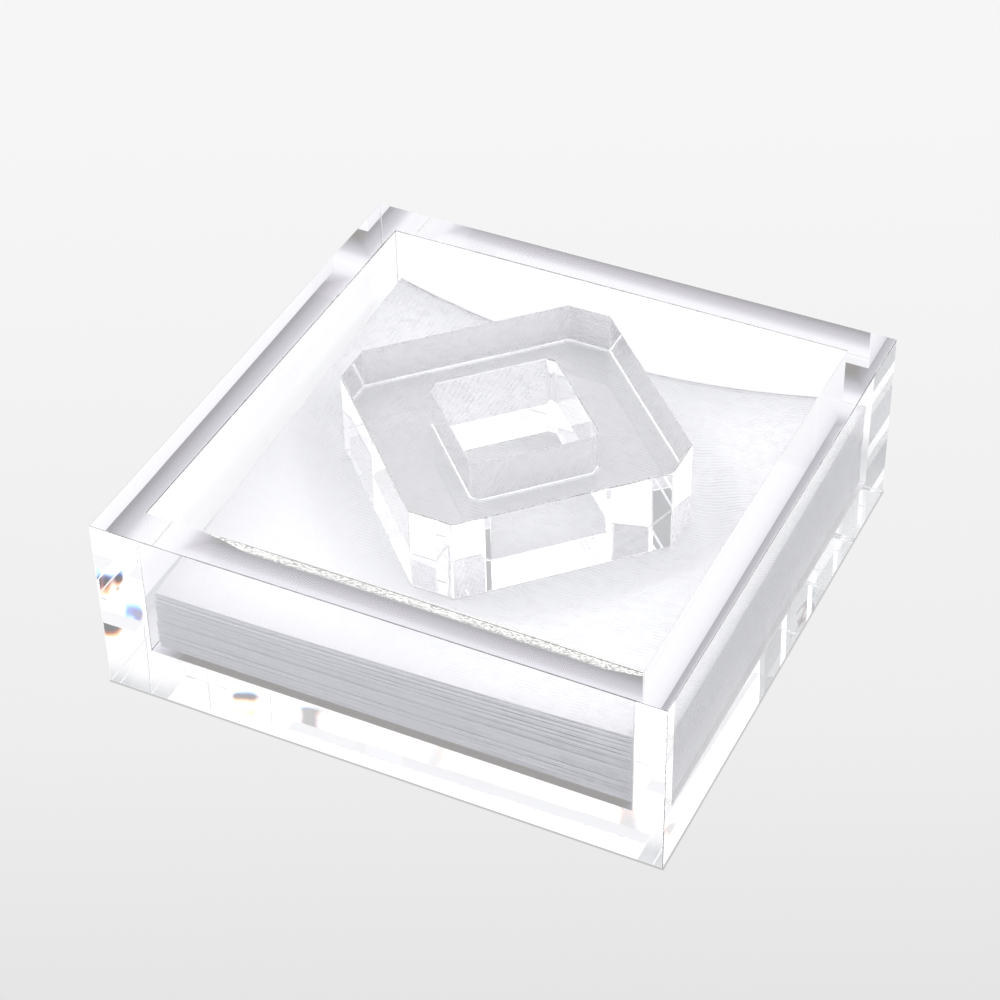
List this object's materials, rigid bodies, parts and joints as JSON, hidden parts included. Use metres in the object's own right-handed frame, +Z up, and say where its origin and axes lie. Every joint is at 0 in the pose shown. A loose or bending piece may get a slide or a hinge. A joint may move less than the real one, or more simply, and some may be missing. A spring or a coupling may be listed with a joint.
{
  "type": "napkin holder",
  "caption": "Open square tray of thick clear acrylic that holds a pile of folded paper cocktail napkins, with a clear open-diamond weight lying on top.",
  "frame": {"origin": "centre of the tray's underside, on the table", "axes": "+Z up; X along the front wall, Y from the front wall to the rear wall"},
  "size_m": [0.15, 0.15, 0.0511],
  "materials": {
    "clear_acrylic": "polished",
    "napkin_paper": "matte"
  },
  "bodies": {
    "tray": {"base_plate": "clear_acrylic", "front_wall": "clear_acrylic", "rear_wall": "clear_acrylic", "left_wall": "clear_acrylic", "right_wall": "clear_acrylic"},
    "pile": {"napkin_01": "napkin_paper", "napkin_02": "napkin_paper", "napkin_03": "napkin_paper", "napkin_04": "napkin_paper", "napkin_05": "napkin_paper", "napkin_06": "napkin_paper", "napkin_07": "napkin_paper", "napkin_08": "napkin_paper", "napkin_09": "napkin_paper", "napkin_10": "napkin_paper", "napkin_11": "napkin_paper", "napkin_12": "napkin_paper", "napkin_13": "napkin_paper", "napkin_14": "napkin_paper", "napkin_15": "napkin_paper", "napkin_16": "napkin_paper", "napkin_17": "napkin_paper", "napkin_18": "napkin_paper", "napkin_19": "napkin_paper"},
    "top_napkin": {"napkin_20": "napkin_paper"},
    "weight": {"weight": "clear_acrylic"}
  },
  "joints": [
    {"name": "pile_lift", "type": "slide", "parent": "tray", "child": "pile", "axis": [0, 0, 1], "range_m": [0, 0.06]},
    {"name": "top_napkin_lift", "type": "slide", "parent": "pile", "child": "top_napkin", "axis": [0, 0, 1], "range_m": [0, 0.045]},
    {"name": "weight_lift", "type": "slide", "parent": "top_napkin", "child": "weight", "axis": [0, 0, 1], "range_m": [0, 0.045]}
  ]
}
